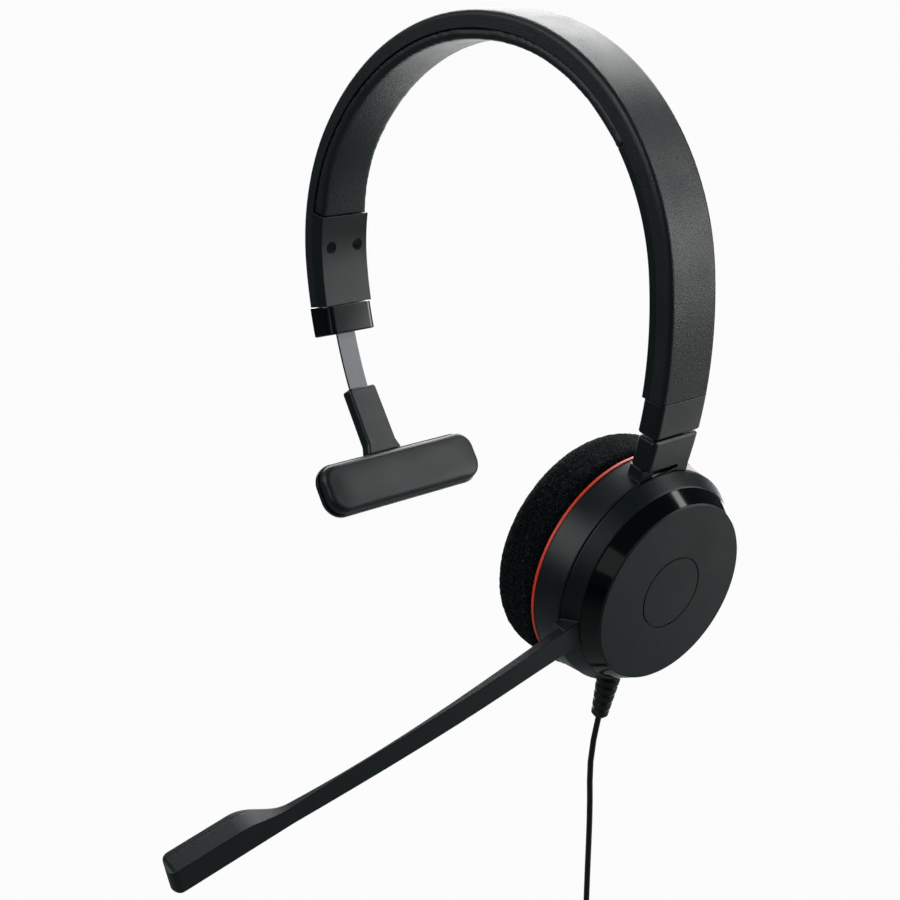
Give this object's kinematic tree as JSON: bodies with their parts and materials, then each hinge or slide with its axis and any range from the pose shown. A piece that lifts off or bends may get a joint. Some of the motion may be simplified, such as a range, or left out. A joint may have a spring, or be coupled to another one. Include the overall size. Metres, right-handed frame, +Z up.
{
  "type": "office headset",
  "caption": "Single-sided office headset: a sprung headband, a T-bar temple rest, a foam ear cup and a turning microphone boom, with a USB lead.",
  "frame": {"origin": "middle of the crown's underside, where the band rests on the head", "axes": "+X towards the ear cup, -Y towards the wearer's face and microphone, +Z up"},
  "size_m": [0.1462, 0.1659, 0.331],
  "materials": {
    "accent_red": "satin",
    "board_green": "solder-masked board",
    "cap_grey": "matte charcoal",
    "contact_white": "moulded",
    "cord_black": "satin jacket",
    "film_amber": "thin film",
    "foam_black": "open-cell foam",
    "gloss_black": "polished",
    "lining_black": "smooth leatherette, satin",
    "matte_black": "fine moulded texture",
    "mesh_black": "woven",
    "plug_steel": "bright",
    "rubber_black": "matte",
    "screw_black": "black oxide",
    "soft_black": "soft-touch, very fine grain",
    "spring_steel": "satin"
  },
  "bodies": {
    "band": {"band_cover": "soft_black", "band_spring": "spring_steel", "pad_carrier": "matte_black", "crown_pad": "lining_black", "cup_trim": "matte_black", "bar_block": "matte_black", "block_screws": "screw_black", "bar_end_cap": "gloss_black", "cup_end_piece": "matte_black"},
    "t_bar": {"bar_strip": "spring_steel", "bar_arm": "matte_black", "bar_plate": "matte_black", "bar_pad": "rubber_black"},
    "neck": {"neck_strip": "spring_steel", "neck_body": "matte_black"},
    "cup": {"cup_housing": "matte_black", "pivot_pin": "spring_steel", "cup_cap": "cap_grey", "cap_screws": "screw_black", "accent_ring": "accent_red", "speaker_baffle": "matte_black", "driver_frame": "matte_black", "driver_magnet": "spring_steel", "driver_diaphragm": "film_amber", "acoustic_mesh": "mesh_black", "terminal_board": "board_green", "cushion_ring": "matte_black", "ear_cushion": "foam_black", "boom_washer": "contact_white", "strain_relief": "rubber_black", "cord": "cord_black", "cord_coil": "cord_black", "coil_tie": "mesh_black", "plug_lead": "cord_black", "plug_relief": "rubber_black", "plug_body": "matte_black", "plug_shell": "plug_steel", "plug_insert": "contact_white"},
    "boom": {"boom_arm": "matte_black", "mic_cover": "matte_black", "mic_capsule": "spring_steel"}
  },
  "joints": [
    {"name": "bar_slide", "type": "hinge", "parent": "band", "child": "t_bar", "pos_m": [0.03933, 0, -0.05754], "axis": [0, -1, 0], "range_deg": [-8.46, 6.15]},
    {"name": "cup_slide", "type": "hinge", "parent": "band", "child": "neck", "pos_m": [-0.04907, 0, -0.06307], "axis": [0, 1, 0], "range_deg": [0, 10.06]},
    {"name": "cup_tilt", "type": "hinge", "parent": "neck", "child": "cup", "pos_m": [0.05826, 0, -0.10136], "axis": [0, 1, 0], "range_deg": [-6, 6]},
    {"name": "boom_turn", "type": "hinge", "parent": "cup", "child": "boom", "pos_m": [0.05863, -0.00002, -0.12908], "axis": [-0.9864, 0.0381, 0.1597], "range_deg": [-26, 244]}
  ]
}
